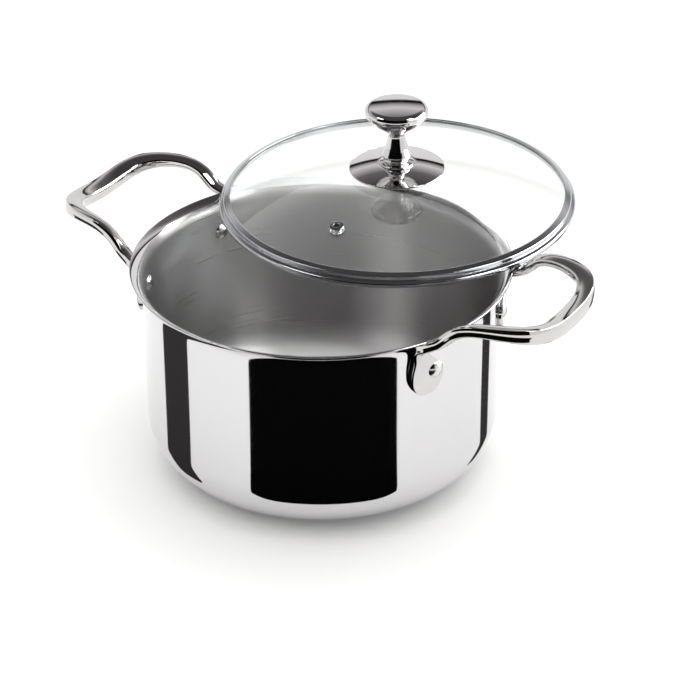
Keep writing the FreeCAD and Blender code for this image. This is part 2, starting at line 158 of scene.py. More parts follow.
def arc(centre, radius, start, end, steps):
    """Points on a circle, from one angle in degrees to another."""
    a = np.radians(np.linspace(start, end, steps))
    return np.stack([centre[0] + radius * np.cos(a), centre[1] + radius * np.sin(a)], 1)


def divided(points, spacing, closed=True):
    """The same outline with points added along every stretch longer than the spacing."""
    ends = np.roll(points, -1, 0) if closed else points[1:]
    starts = points if closed else points[:-1]
    length = np.linalg.norm(ends - starts, axis=1)
    count = np.maximum(np.ceil(length / spacing).astype(int), 1)
    which = np.repeat(np.arange(len(count)), count)
    first = np.repeat(np.cumsum(count) - count, count)
    share = ((np.arange(count.sum()) - first) / count[which])[:, None]
    out = starts[which] + share * (ends - starts)[which]
    return out if closed else np.vstack([out, points[-1:]])


# ---- meshes --------------------------------------------------------------------------------


def grid_faces(rows, columns, wrap_rows, wrap_columns):
    """Quads over a grid of rows x columns points, joined round where asked."""
    i = np.arange(rows if wrap_rows else rows - 1)
    j = np.arange(columns if wrap_columns else columns - 1)
    i, j = np.meshgrid(i, j, indexing="ij")
    i2, j2 = (i + 1) % rows, (j + 1) % columns
    quads = np.stack([i * columns + j, i2 * columns + j, i2 * columns + j2, i * columns + j2], -1)
    return quads.reshape(-1, 4)


def solid_mesh(name, points, faces, sharp=50):
    """A mesh from points in millimetres, with doubles merged and every face outward."""
    mesh = bpy.data.meshes.new(name)
    mesh.from_pydata((points * MM).tolist(), [], faces.tolist())
    work = bmesh.new()
    work.from_mesh(mesh)
    bmesh.ops.remove_doubles(work, verts=work.verts, dist=1e-7)
    bmesh.ops.dissolve_degenerate(work, edges=work.edges, dist=1e-7)
    bmesh.ops.recalc_face_normals(work, faces=work.faces)
    work.to_mesh(mesh)
    work.free()
    mesh.shade_smooth()
    mesh.set_sharp_from_angle(angle=math.radians(sharp))
    return mesh


def piece(name, mesh, body, material, replaces=(), slot=None):
    """A finished piece: a mesh with its materials, riding a body."""
    thing = bpy.data.objects.new(name, mesh)
    bpy.context.scene.collection.objects.link(thing)
    for one in material if isinstance(material, (list, tuple)) else [material]:
        mesh.materials.append(one)
    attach(thing, body)
    if replaces:
        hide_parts(*replaces)
    return thing


def turned_points(outline, spokes):
    """A surface of revolution: (r cos a, r sin a, z) for each outline point and each angle."""
    a = np.linspace(0, 2 * math.pi, spokes, endpoint=False)[:, None]
    r, z = outline[None, :, 0], outline[None, :, 1]
    return np.stack([r * np.cos(a), r * np.sin(a), z + 0 * a], -1).reshape(-1, 3)


def turned_mesh(name, outline, place=None, spokes=256, closed=True, sharp=50):
    """Turn an outline about Z, then move it to its place, a 4 x 4 matrix in millimetres."""
    points = turned_points(outline, spokes)
    if place is not None:
        points = points @ place[:3, :3].T + place[:3, 3]
    return solid_mesh(name, points, grid_faces(spokes, len(outline), True, closed), sharp)


def turned(name, outline, body, material, place=None, spokes=256, closed=True, sharp=50, **more):
    """A finished piece made by turning an outline about an axis."""
    return piece(name, turned_mesh(name, outline, place, spokes, closed, sharp), body, material, **more)


def placed(x, y, z, x_axis, y_axis, z_axis):
    """A place as a 4 x 4 matrix, from its origin and its own three axes."""
    matrix = np.eye(4)
    matrix[:3, :3] = np.array([x_axis, y_axis, z_axis], float).T
    matrix[:3, 3] = (x, y, z)
    return matrix


def on_the_rim():
    """The lid's own frame: off to +Y, just above the rim, its far side raised a little."""
    c, s = math.cos(LID_TILT), math.sin(LID_TILT)
    return placed(0, LID_OFFSET, RIM_HEIGHT + LID_RAISE, (1, 0, 0), (0, c, s), (0, -s, c))


# ---- materials -----------------------------------------------------------------------------


def colour(code):
    """An sRGB hex colour as linear red, green, blue and alpha."""
    s = np.array([int(code[i : i + 2], 16) for i in (1, 3, 5)]) / 255
    linear = np.where(s <= 0.04045, s / 12.92, ((s + 0.055) / 1.055) ** 2.4)
    return (*linear.tolist(), 1.0)


def add(tree, kind, settings=None, links=None, values=None):
    """One node of a kind, with its settings, its sockets' values and the links into it."""
    node = tree.nodes.new(kind)
    for key, setting in (settings or {}).items():
        setattr(node, key, setting)
    for key, number in (values or {}).items():
        node.inputs[key].default_value = number
    for key, source in (links or {}).items():
        tree.links.new(source, node.inputs[key])
    return node


def new_material(name):
    """A material with an empty tree and its output node."""
    material = bpy.data.materials.new(name)
    material.use_nodes = True
    tree = material.node_tree
    tree.nodes.clear()
    return material, tree, tree.nodes.new("ShaderNodeOutputMaterial")


def lathe_lines(tree, per_metre, centre=(0, 0, 0), tilt=0.0, fading=1.2):
    """A pattern vector for lines that run round an axis: (radius, height, a little angle).

    Radius and height are multiplied by the lines per metre. The third number changes slowly
    round the piece, so that each line fades in and out along its way. The axis stands on the
    centre, and leans over by the tilt.
    """
    place = add(tree, "ShaderNodeTexCoord")
    middle = tuple(-c * MM for c in centre)
    moved = add(
        tree,
        "ShaderNodeVectorMath",
        {"operation": "ADD"},
        {0: place.outputs["Object"]},
        {1: middle},
    )
    turn = add(
        tree,
        "ShaderNodeMapping",
        {"vector_type": "POINT"},
        {"Vector": moved.outputs[0]},
        {"Rotation": (-tilt, 0, 0)},
    )
    parts = add(tree, "ShaderNodeSeparateXYZ", links={0: turn.outputs[0]})
    flat = add(tree, "ShaderNodeCombineXYZ", links={0: parts.outputs[0], 1: parts.outputs[1]})
    reach = add(tree, "ShaderNodeVectorMath", {"operation": "LENGTH"}, {0: flat.outputs[0]})
    around = add(
        tree,
        "ShaderNodeMath",
        {"operation": "ARCTAN2"},
        {0: parts.outputs[1], 1: parts.outputs[0]},
    )
    fade = add(tree, "ShaderNodeMath", {"operation": "SINE"}, {0: around.outputs[0]})
    vector = add(
        tree,
        "ShaderNodeCombineXYZ",
        links={0: reach.outputs["Value"], 1: parts.outputs[2], 2: fade.outputs[0]},
    )
    return add(
        tree,
        "ShaderNodeVectorMath",
        {"operation": "MULTIPLY"},
        {0: vector.outputs[0]},
        {1: (per_metre, per_metre, fading)},
    ).outputs[0]


def steel(name, shade, roughness, spread, lines=None, wave=0.0, scratch=0.0, anisotropy=0.0):
    """A bare metal with a grain: lathe lines where their settings are given, else specks.

    Grain and slow blotches together move the roughness by up to the spread, either way.
    Scratch is the depth in millimetres of the grain, and wave that of the slow unevenness
    that bends what the metal reflects.
    """
    material, tree, out = new_material(name)
    shader = add(
        tree,
        "ShaderNodeBsdfPrincipled",
        values={
            "Base Color": colour(shade),
            "Metallic": 1.0,
            "Anisotropic": anisotropy,
            "Anisotropic Rotation": 0.25,
        },
    )
    place = add(tree, "ShaderNodeTexCoord")
    if lines:
        grain = add(
            tree,
            "ShaderNodeTexNoise",
            links={"Vector": lathe_lines(tree, **lines)},
            values={"Scale": 1.0, "Detail": 3.0, "Roughness": 0.6},
        )
    else:
        grain = add(
            tree,
            "ShaderNodeTexNoise",
            links={"Vector": place.outputs["Object"]},
            values={"Scale": 260.0, "Detail": 4.0},
        )
    blotch = add(
        tree,
        "ShaderNodeTexNoise",
        links={"Vector": place.outputs["Object"]},
        values={"Scale": 22.0, "Detail": 2.0},
    )
    both = add(
        tree,
        "ShaderNodeMath",
        {"operation": "MULTIPLY_ADD"},
        {0: blotch.outputs["Fac"], 2: grain.outputs["Fac"]},
        {1: 0.4},
    )
    rough = add(
        tree,
        "ShaderNodeMapRange",
        links={"Value": both.outputs[0]},
        values={
            "From Min": 0.4,
            "From Max": 1.0,
            "To Min": roughness - spread,
            "To Max": roughness + spread,
        },
    )
    tree.links.new(rough.outputs[0], shader.inputs["Roughness"])
    normal = None
    if scratch:
        normal = add(
            tree,
            "ShaderNodeBump",
            links={"Height": grain.outputs["Fac"]},
            values={"Strength": 1.0, "Distance": scratch * MM},
        )
    if wave:
        slow = add(
            tree,
            "ShaderNodeTexNoise",
            links={"Vector": place.outputs["Object"]},
            values={"Scale": 14.0, "Detail": 0.0},
        )
        links = {"Height": slow.outputs["Fac"]}
        if normal:
            links["Normal"] = normal.outputs[0]
        depth = {"Strength": 1.0, "Distance": wave * MM}
        normal = add(tree, "ShaderNodeBump", links=links, values=depth)
    if normal:
        tree.links.new(normal.outputs[0], shader.inputs["Normal"])
    tree.links.new(shader.outputs[0], out.inputs["Surface"])
    return material


def clear_glass(name):
    """Clear glass with a trace of haze where a film lies on it. It casts only a faint shadow."""
    material, tree, out = new_material(name)
    place = add(tree, "ShaderNodeTexCoord")
    film = add(
        tree,
        "ShaderNodeTexNoise",
        links={"Vector": place.outputs["Object"]},
        values={"Scale": 9.0, "Detail": 3.0},
    )
    haze = add(
        tree,
        "ShaderNodeMapRange",
        links={"Value": film.outputs["Fac"]},
        values={"From Min": 0.35, "From Max": 0.7, "To Min": 0.0, "To Max": 0.02},
    )
    glass = add(
        tree,
        "ShaderNodeBsdfPrincipled",
        links={"Roughness": haze.outputs[0]},
        values={"Base Color": colour("#FBFDFC"), "IOR": 1.52, "Transmission Weight": 1.0},
    )
    lamp = add(tree, "ShaderNodeBsdfTransparent", values={"Color": colour("#F4F8F6")})
    path = add(tree, "ShaderNodeLightPath")
    mix = add(
        tree,
        "ShaderNodeMixShader",
        links={0: path.outputs["Is Shadow Ray"], 1: glass.outputs[0], 2: lamp.outputs[0]},
    )
    tree.links.new(mix.outputs[0], out.inputs["Surface"])
    return material


def silicone(name, shade):
    """A matt rubber with the faint, fine texture of its mould."""
    material, tree, out = new_material(name)
    place = add(tree, "ShaderNodeTexCoord")
    texture = add(
        tree,
        "ShaderNodeTexNoise",
        links={"Vector": place.outputs["Object"]},
        values={"Scale": 900.0, "Detail": 2.0},
    )
    bump = add(
        tree,
        "ShaderNodeBump",
        links={"Height": texture.outputs["Fac"]},
        values={"Distance": 0.02 * MM},
    )
    shader = add(
        tree,
        "ShaderNodeBsdfPrincipled",
        links={"Normal": bump.outputs[0]},
        values={"Base Color": colour(shade), "Roughness": 0.55, "IOR": 1.41},
    )
    tree.links.new(shader.outputs[0], out.inputs["Surface"])
    return material


LINES_PER_METRE = 1600.0
ROUND_THE_POT = {"per_metre": LINES_PER_METRE}
ROUND_THE_LID = {
    "per_metre": LINES_PER_METRE,
    "centre": (0, LID_OFFSET, RIM_HEIGHT + LID_RAISE),
    "tilt": LID_TILT,
}

# A mirror that bends a little: drawing and polishing leave the sheet slightly uneven.
mirror_steel = steel("Mirror-polished drawn stainless steel", "#D6D5D6", 0.05, 0.02, wave=0.05)

# Brushing round the inside spreads each light into a soft band across the brush lines. Real
# lines are about 0.1 mm apart; these are drawn about 0.6 mm apart, so that they show.
satin_steel = steel(
    "Satin stainless steel, brushed round the inside",
    "#B4B2B2",
    0.34,
    0.10,
    lines=ROUND_THE_POT,
    scratch=0.009,
    anisotropy=0.85,
)

# Buffed by hand over a casting: bright, with softer edges to its reflections than sheet has.
cast_steel = steel("Cast stainless steel, buffed", "#CAC8C7", 0.06, 0.03, wave=0.03)

# A belt leaves fine lines round the strip, which blur its reflections into clean bands.
ring_steel = steel(
    "Rolled stainless strip, linished",
    "#C6C8CA",
    0.16,
    0.04,
    lines=ROUND_THE_LID,
    scratch=0.0015,
)

# Tumbling dulls the heads a little, so that each shows one soft highlight.
rivet_steel = steel("Headed stainless steel, tumbled", "#D6D5D4", 0.20, 0.04)

# Turned, then buffed: a mirror with a trace of the tool's lines, which thins its highlights.
knob_steel = steel(
    "Turned stainless steel, buffed",
    "#CFCDCD",
    0.05,
    0.02,
    lines=ROUND_THE_LID,
    scratch=0.001,
)

# Clear and colourless, with bright edges and a sharp reflection of the lights.
tempered_glass = clear_glass("Tempered soda-lime glass")

# Near black and matt, so that a gasket reads as a thin dark line.
black_silicone = silicone("Moulded black silicone", "#191A1B")

# Zinc plate is bluish and dull beside the stainless steel.
zinc_steel = steel("Zinc-plated fastener steel", "#B9BCC0", 0.32, 0.08, scratch=0.01)

# Fresh from the lathe: pale and satin, with the tool's rings.
bare_aluminium = steel(
    "Turned bare aluminium",
    "#D5D6D8",
    0.35,
    0.08,
    lines=ROUND_THE_POT,
    scratch=0.02,
)


# ---- pot -----------------------------------------------------------------------------------


def pot_outline():
    """The shell's sheet: up the outside, round the lip's edge and down the inside.

    Corner and lip are arcs about one centre for both faces, a gauge apart in radius.
    """
    turn = math.degrees(LIP_LEAN)
    bend = (WALL + LIP_BEND, RIM_HEIGHT - LIP_TALL)
    corner = (WALL - CORNER, SHELL_UNDERSIDE + CORNER)
    edge_middle = LIP_BEND + SHELL_GAUGE / 2
    edge = (
        bend[0] - edge_middle * math.cos(LIP_LEAN),
        bend[1] + edge_middle * math.sin(LIP_LEAN),
    )
    foot = np.array([[0, SHELL_UNDERSIDE]])
    up = arc(corner, CORNER, -90, 0, 40)
    lip_out = arc(bend, LIP_BEND, 180, 180 - turn, 22)
    rim = arc(edge, SHELL_GAUGE / 2, 360 - turn, 540 - turn, 10)
    lip_in = arc(bend, LIP_BEND + SHELL_GAUGE, 180 - turn, 180, 22)
    down = arc(corner, CORNER - SHELL_GAUGE, 0, -90, 40)
    floor = np.array([[0, SHELL_UNDERSIDE + SHELL_GAUGE]])
    outside = divided(np.vstack([foot, up, lip_out]), 2.5, closed=False)
    inside = divided(np.vstack([lip_in, down, floor]), 2.5, closed=False)
    return np.vstack([outside, rim[1:-1], inside])


def brush_inside(mesh):
    """Give the second material to the inner faces: below the lip, facing the axis or upward."""
    centre = np.empty(len(mesh.polygons) * 3)
    mesh.polygons.foreach_get("center", centre)
    normal = np.empty(len(mesh.polygons) * 3)
    mesh.polygons.foreach_get("normal", normal)
    centre, normal = centre.reshape(-1, 3), normal.reshape(-1, 3)
    reach = np.linalg.norm(centre[:, :2], axis=1)
    outward = (centre[:, :2] * normal[:, :2]).sum(1) / np.maximum(reach, 1e-6)
    floor = (normal[:, 2] > 0.5) & (reach < (WALL - 2) * MM)
    deep = centre[:, 2] < (RIM_HEIGHT - BRUSHED_BELOW) * MM
    inner = ((outward < -0.02) | floor) & deep
    mesh.polygons.foreach_set("material_index", inner.astype(np.int32))


def make_pot():
    """The drawn shell: a mirror outside and over the lip, brushed inside."""
    shell = turned(
        "pot_shell_polished",
        pot_outline(),
        "pot",
        [mirror_steel, satin_steel],
        spokes=320,
        closed=False,
        replaces=["pot_shell"],
        slot="polished_steel",
        sharp=80,
    )
    brush_inside(shell.data)


def make_base():
    """The pan under the pot: a flat sheet turned up round the spreader disc, its lip rounded."""
    corners = [
        (0, 0, 0),
        (CAP_RADIUS, 0, 2.0),
        (CAP_RADIUS, SHELL_UNDERSIDE, 0.35),
        (CAP_RADIUS - CAP_GAUGE, SHELL_UNDERSIDE, 0.1),
        (CAP_RADIUS - CAP_GAUGE, CAP_GAUGE, 1.2),
        (0, CAP_GAUGE, 0),
    ]
    outline = divided(rounded(corners, closed=False), 3.0, closed=False)
    turned(
        "base_cap_pressed",
        outline,
        "pot",
        mirror_steel,
        closed=False,
        replaces=["base_cap"],
        slot="polished_steel",
    )


def radial(angle, reach, up):
    """A place whose own Z points straight out from the pot at an angle in degrees."""
    a = math.radians(angle)
    out = (math.cos(a), math.sin(a), 0)
    side = (-math.sin(a), math.cos(a), 0)
    return placed(reach * out[0], reach * out[1], up, side, (0, 0, 1), out)


def rivet_outline():
    """A shank between two button heads, each a low dome of the ball (h^2 + d^2) / 2 d.

    Here h is half the head's width and d is how far it stands out.
    """
    ball = (RIVET_HEAD**2 + RIVET_DOME**2) / (2 * RIVET_DOME)
    spread = math.degrees(math.asin(RIVET_HEAD / ball))
    grip = SHELL_GAUGE + PLATE_GAUGE + RIVET_PLAY
    inner = arc((0, ball - RIVET_DOME), ball, -90, -90 + spread, 12)
    outer = arc((0, grip + RIVET_DOME - ball), ball, 90 - spread, 90, 12)
    waist = np.array(
        [
            [RIVET_HEAD, 0.25],
            [RIVET_SHANK, 0.3],
            [RIVET_SHANK, grip - 0.3],
            [RIVET_HEAD, grip - 0.25],
        ]
    )
    return np.vstack([inner, waist, outer])


def make_rivets():
    """Two rivets through each handle's plates, square to the wall."""
    for name, angle in {
        "rivet_right_front": -RIVET_ANGLE,
        "rivet_right_back": RIVET_ANGLE,
        "rivet_left_back": 180 - RIVET_ANGLE,
        "rivet_left_front": 180 + RIVET_ANGLE,
    }.items():
        place = radial(angle, WALL - SHELL_GAUGE - RIVET_SEAT, RIM_HEIGHT - RIVET_DROP)
        turned(
            name + "_domed",
            rivet_outline(),
            "pot",
            rivet_steel,
            place,
            spokes=64,
            closed=False,
            replaces=[name],
            slot="cast_steel",
            sharp=35,
        )


# ---- handles -------------------------------------------------------------------------------


def spline(knots, values, at):
    """A natural cubic spline through rows of values at the knots, read at other places.

    The second derivatives at the knots solve one linear system, and are zero at both ends.
    """
    h = np.diff(knots)[:, None]
    slope = np.diff(values, axis=0) / h
    n = len(knots)
    system = np.eye(n)
    inner = np.arange(1, n - 1)
    system[inner, inner - 1] = h[:-1, 0]
    system[inner, inner] = 2 * (h[:-1, 0] + h[1:, 0])
    system[inner, inner + 1] = h[1:, 0]
    right = np.zeros_like(values)
    right[1:-1] = 6 * np.diff(slope, axis=0)
    bend = np.linalg.solve(system, right)
    k = np.clip(np.searchsorted(knots, at) - 1, 0, n - 2)
    a = ((knots[k + 1] - at) / h[k, 0])[:, None]
    b = 1 - a
    curve = (a**3 - a) * bend[k] + (b**3 - b) * bend[k + 1]
    return a * values[k] + b * values[k + 1] + curve * h[k] ** 2 / 6


def bar_section(w, d):
    """The grip's five corners (across, above, radius), for half its width and half its depth.

    The second corner is a crisp ridge along the top of the outer side.
    """
    return [
        (-0.95 * w, 0.62 * d, 0.42 * w),
        (0.80 * w, 0.90 * d, 0.45),
        (1.00 * w, -0.45 * d, 0.42 * d),
        (0.20 * w, -1.00 * d, 0.42 * d),
        (-0.85 * w, -0.55 * d, 0.42 * d),
    ]


def foot_section(half, spine, thick=PLATE_GAUGE / 2):
    """The riveting foot's five corners: a plate with a spine along its outboard edge."""
    return [
        (-half, thick, 0.3),
        (half, thick, 0.3),
        (half - 0.5, -thick - spine, 1.1),
        (half - 6.0, -thick, 3.0),
        (-half, -thick, 1.0),
    ]


def handle_stations():
    """The casting from one foot to the middle of the grip, heights counted from the rim.

    Each station is its place (x, y, z), then its sides' bulge, then five corners of its section.
    Those by the wall are placed by an angle and a distance off it, and the free ones by how far
    they lie inward of the grip and outboard of its ends.
    """

    def by_wall(angle, off_wall, up, section):
        """A station at an angle round the pot, in degrees, and at a distance off its wall."""
        a, out = math.radians(angle), WALL + off_wall
        return (out * math.cos(a), out * math.sin(a), up, 0.0, *np.ravel(section))

    def free(inward, outboard, up, w, d):
        """A station of the open bar, for half its width and half its depth."""
        place = (GRIP_REACH - inward, GRIP_HALF + outboard, up)
        return (*place, 0.07, *np.ravel(bar_section(w, d)))

    bend = [(-6.6, 1.6, 0.5), (6.0, 2.0, 0.4), (6.2, -3.0, 1.4), (1.4, -2.4, 2.0), (-6.4, -1.0, 1.0)]
    knee = [(-4.4, 1.2, 1.0), (3.6, 2.8, 0.5), (4.4, -2.2, 1.4), (1.0, -3.2, 1.5), (-3.9, -2.0, 1.3)]
    middle = (GRIP_REACH, 0.0, 7.5, 0.07, *np.ravel(bar_section(5.8, 6.3)))
    return np.array(
        [
            by_wall(25.1, 1.35, -37.5, foot_section(PLATE_HALF, 0.5)),
            by_wall(25.1, 1.35, -30.0, foot_section(PLATE_HALF, 1.2)),
            by_wall(25.3, 1.40, -21.0, foot_section(10.8, 2.0)),
            by_wall(27.1, 2.15, -13.5, bend),
            by_wall(28.3, 3.80, -6.5, knee),
            free(53.6, 5.0, 0.4, 4.5, 3.5),
            free(43.0, 4.0, 9.5, 4.4, 3.7),
            free(23.0, 0.5, 14.0, 4.8, 4.4),
            free(6.0, -10.0, 12.0, 5.6, 5.7),
            free(0.6, -25.0, 9.0, 5.8, 6.2),
            middle,
        ]
    )


def section_points(corners, radii, bulge, steps=7, between=6):
    """Closed outlines through rows of corners, with arcs at the corners and bulging sides.

    Each side's points stand off it by bulge * length * 4 s (1 - s), s running along the side.
    """
    back = np.roll(corners, 1, 1) - corners
    ahead = np.roll(corners, -1, 1) - corners
    back /= np.linalg.norm(back, axis=2, keepdims=True)
    ahead /= np.linalg.norm(ahead, axis=2, keepdims=True)
    angle = np.arccos(np.clip((back * ahead).sum(2), -1, 1))
    bisector = back + ahead
    bisector /= np.linalg.norm(bisector, axis=2, keepdims=True) + 1e-9
    centre = corners + bisector * (radii / np.sin(angle / 2))[..., None]
    start = corners + back * (radii / np.tan(angle / 2))[..., None] - centre
    end = corners + ahead * (radii / np.tan(angle / 2))[..., None] - centre
    swing = np.maximum(math.pi - angle, 1e-3)[..., None, None]
    t = np.linspace(0, 1, steps)[:, None]
    turn = np.sin((1 - t) * swing) * start[:, :, None] + np.sin(t * swing) * end[:, :, None]
    arcs = centre[:, :, None] + turn / np.sin(swing)
    leave, arrive = arcs[:, :, -1:], np.roll(arcs[:, :, :1], -1, 1)
    s = np.linspace(0, 1, between + 2)[1:-1, None]
    side = arrive - leave
    normal = np.stack([-side[..., 1], side[..., 0]], -1)
    sides = leave + s * side + normal * bulge[:, None, None, None] * 4 * s * (1 - s)
    return np.concatenate([arcs, sides], 2).reshape(len(corners), -1, 2)


def handle_points(spacing=1.1):
    """One handle's surface: sections carried along a spline, foot to foot.

    A point (across, above) of a section stands at place + across * side + above * up. Near the
    feet the same point is wrapped round the wall instead: across becomes an angle about Z. The
    sections narrow at both ends as a circle does, which gives each foot its round end.
    """
    half = handle_stations()
    mirrored = half[::-1][1:].copy()
    mirrored[:, 1] *= -1
    stations = np.vstack([half, mirrored])
    knots = np.r_[0, np.cumsum(np.linalg.norm(np.diff(stations[:, :3], axis=0), axis=1))]
    total, end = knots[-1], PLATE_HALF
    rounding = end * (1 - np.cos(np.linspace(0, math.pi / 2, 26)))
    first = np.r_[rounding, np.arange(end + spacing, total / 2, spacing)]
    along = np.r_[first, total / 2, (total - first)[::-1]]
    rows = spline(knots, stations, along)
    place, bulge = rows[:, :3], rows[:, 3]
    corners = rows[:, 4:].reshape(len(rows), 5, 3)
    outline = section_points(corners[..., :2], corners[..., 2], bulge)
    from_end = np.minimum(along, total - along)
    narrow = np.sqrt(np.clip(1 - np.clip(1 - from_end / end, 0, 1) ** 2, 0, 1))
    thin = np.sqrt(np.clip(1 - np.clip(1 - from_end / (PLATE_GAUGE / 2), 0, 1) ** 2, 0, 1))
    across = outline[..., 0] * narrow[:, None]
    above = outline[..., 1] * thin[:, None]

    # Side lies level, square to the way the bar runs, or to the wall where the bar is steep.
    step = 0.05
    ahead = spline(knots, stations[:, :3], np.minimum(along + step, total))
    behind = spline(knots, stations[:, :3], np.maximum(along - step, 0))
    tangent = ahead - behind
    tangent /= np.linalg.norm(tangent, axis=1, keepdims=True)
    out = place[:, :2] / np.linalg.norm(place[:, :2], axis=1, keepdims=True)
    sense = np.sign(total / 2 - along + 1e-9)[:, None]
    steep = np.clip(np.abs(tangent[:, 2:]) * 2 - 1, 0, 1)
    heading = tangent[:, :2] * (1 - steep) + out * sense * steep
    heading /= np.linalg.norm(heading, axis=1, keepdims=True)
    side = np.stack([-heading[:, 1], heading[:, 0], 0 * heading[:, 0]], 1)
    up = np.cross(tangent, side)
    up /= np.linalg.norm(up, axis=1, keepdims=True)
    side = np.cross(up, tangent)

    # Blend the free sections into the wrapped ones below the rim.
    free = place[:, None] + across[..., None] * side[:, None] + above[..., None] * up[:, None]
    reach = np.linalg.norm(place[:, :2], axis=1)[:, None] - above
    turn = np.arctan2(place[:, 1], place[:, 0])[:, None] + sense * across / (WALL + PLATE_GAUGE / 2)
    bent = np.stack([reach * np.cos(turn), reach * np.sin(turn), place[:, 2:] + 0 * turn], -1)
    hug = np.clip((WRAP_TOP - place[:, 2]) / WRAP_FADE, 0, 1)
    hug = (hug * hug * (3 - 2 * hug))[:, None, None]
    points = free * (1 - hug) + bent * hug
    points[..., 2] += RIM_HEIGHT
    return points


def make_handles():
    """One casting on each side. The left one is the right one turned half way round."""
    points = handle_points()
    rows, around = points.shape[:2]
    faces = grid_faces(rows, around, False, True)
    for name, turn in (("handle_right", 1), ("handle_left", -1)):
        spun = points.reshape(-1, 3) * np.array([turn, turn, 1])
        mesh = solid_mesh(name + "_casting", spun, faces, sharp=80)
        piece(name + "_casting", mesh, "pot", cast_steel, replaces=[name], slot="cast_steel")


# ---- lid -----------------------------------------------------------------------------------


def dome_ball():
    """The radius (r^2 + h^2) / 2 h of the ball whose cap has the glass's radius r and rise h."""
    rise = GLASS_APEX - GLASS_EDGE_TOP
    return (RING_INSIDE**2 + rise**2) / (2 * rise)


def dome_height(across, below=0.0):
    """Height of the glass's outer face, or of one below it, at a distance from its axis."""
    ball = dome_ball()
    return GLASS_APEX - ball + np.sqrt((ball - below) ** 2 - np.square(across))


def drilled(mesh, drill):
    """A mesh with another, closed one cut out of it."""
    blank = bpy.data.objects.new("Blank", mesh)
    cutter = bpy.data.objects.new("Drill", drill)
    for thing in (blank, cutter):
        bpy.context.scene.collection.objects.link(thing)
    cut = blank.modifiers.new("Hole", "BOOLEAN")
    cut.operation, cut.solver, cut.object = "DIFFERENCE", "EXACT", cutter
    finished = blank.evaluated_get(bpy.context.evaluated_depsgraph_get())
    result = bpy.data.meshes.new_from_object(finished)
    for thing in (blank, cutter):
        bpy.data.objects.remove(thing)
    return result


def vent_seat(place):
    """The steam hole's own frame: half way through the glass and square to it."""
    slope = math.asin(VENT_REACH / dome_ball())
    c, s = math.cos(slope), math.sin(slope)
    height = float(dome_height(VENT_REACH, GLASS_GAUGE / 2))
    return place @ placed(0, -VENT_REACH, height, (1, 0, 0), (0, c, s), (0, -s, c))


def make_glass(place):
    """The dome as two spherical faces with ground edges, and a hole drilled for the steam."""
    r = np.linspace(SCREW_HOLE, GLASS_EDGE, 90)
    top = np.stack([r, dome_height(r)], 1)[::-1]
    bottom = np.stack([r, dome_height(r, GLASS_GAUGE)], 1)
    dome = turned_mesh("Dome", np.vstack([top, bottom]), place)
    long = 2 * GLASS_GAUGE
    rod = np.array([[0, -long], [VENT_HOLE, -long], [VENT_HOLE, long], [0, long]])
    drill = turned_mesh("Drill", rod, vent_seat(place), spokes=48, closed=False)
    glass = drilled(dome, drill)
    glass.shade_smooth()
    glass.set_sharp_from_angle(angle=math.radians(50))
    piece("lid_glass_dome", glass, "lid", tempered_glass, replaces=["lid_glass"], slot="glass")


def ring_outline():
    """The rolled channel: a sloping band over the glass, a groove, and a full outer bead."""
    corners = [
        (RING_INSIDE, float(dome_height(RING_INSIDE, GLASS_GAUGE)) - 0.25, 0.1),
        (RING_INSIDE + 0.1, 0.5, 0.5),
        (RING_INSIDE + 1.2, 0.0, 0.5),
        (RING_RADIUS - 1.6, 0.0, 1.2),
        (RING_RADIUS, 0.9, 1.3),
        (RING_RADIUS, 3.6, 1.5),
        (RING_RADIUS - 2.2, 4.3, 0.25),
        (RING_RADIUS - 2.9, 4.45, 0.2),
        (RING_RADIUS - 2.5, 4.9, 0.3),
        (RING_RADIUS - 2.8, RING_TALL - 1.1, 0.7),
        (RING_RADIUS - 6.2, RING_TALL, 0.5),
        (RING_INSIDE, float(dome_height(RING_INSIDE)) + 0.9, 0.3),
        (RING_INSIDE + 0.1, float(dome_height(RING_INSIDE)) + 0.25, 0.1),
        (GLASS_EDGE + GLASS_PLAY, float(dome_height(GLASS_EDGE)) + 0.2, 0),
        (GLASS_EDGE + GLASS_PLAY, float(dome_height(GLASS_EDGE, GLASS_GAUGE)) - 0.1, 0),
    ]
    return divided(rounded(corners, steps=7), 1.0)


def neck_outline():
    """The knob's post: a screw bore, a foot on the dish, a narrow waist and a bell above it."""
    corners = [
        (0, SCREW_END, 0),
        (SCREW_BORE, SCREW_END, 0),
        (SCREW_BORE, DISH_TOP, 0),
        (10.8, DISH_TOP, 0.2),
        (10.8, DISH_TOP + 1.0, 0.7),
        (7.2, DISH_TOP + 2.0, 3.0),
        (NECK_WAIST, DISH_TOP + 3.0, 1.0),
        (8.8, DISH_TOP + 4.3, 1.0),
        (9.2, DISH_TOP + 6.0, 1.4),
        (7.0, DISH_TOP + 10.5, 8.0),
        (NECK_WAIST, DISH_TOP + 18.5, 5.0),
        (4.8, NECK_TOP + 0.4, 0),
        (0, NECK_TOP + 0.4, 0),
    ]
    return divided(rounded(corners, closed=False), 0.6, closed=False)


def cap_under_outline():
    """The lower pressing: a bowl that flares from the post to a short upright skirt."""
    inner = KNOB_RADIUS - KNOB_GAUGE
    corners = [
        (0, NECK_TOP, 0),
        (6.2, NECK_TOP, 0.8),
        (15.0, CAP_EQUATOR - 6.6, 12.0),
        (KNOB_RADIUS, CAP_EQUATOR - 1.6, 1.6),
        (KNOB_RADIUS, CAP_EQUATOR - 0.1, 0.1),
        (inner, CAP_EQUATOR - 0.1, 0),
        (inner, CAP_EQUATOR - 1.6, 1.0),
        (14.6, CAP_EQUATOR - 5.6, 11.0),
        (5.8, NECK_TOP + KNOB_GAUGE, 0.5),
        (0, NECK_TOP + KNOB_GAUGE, 0),
    ]
    return divided(rounded(corners, closed=False), 0.6, closed=False)


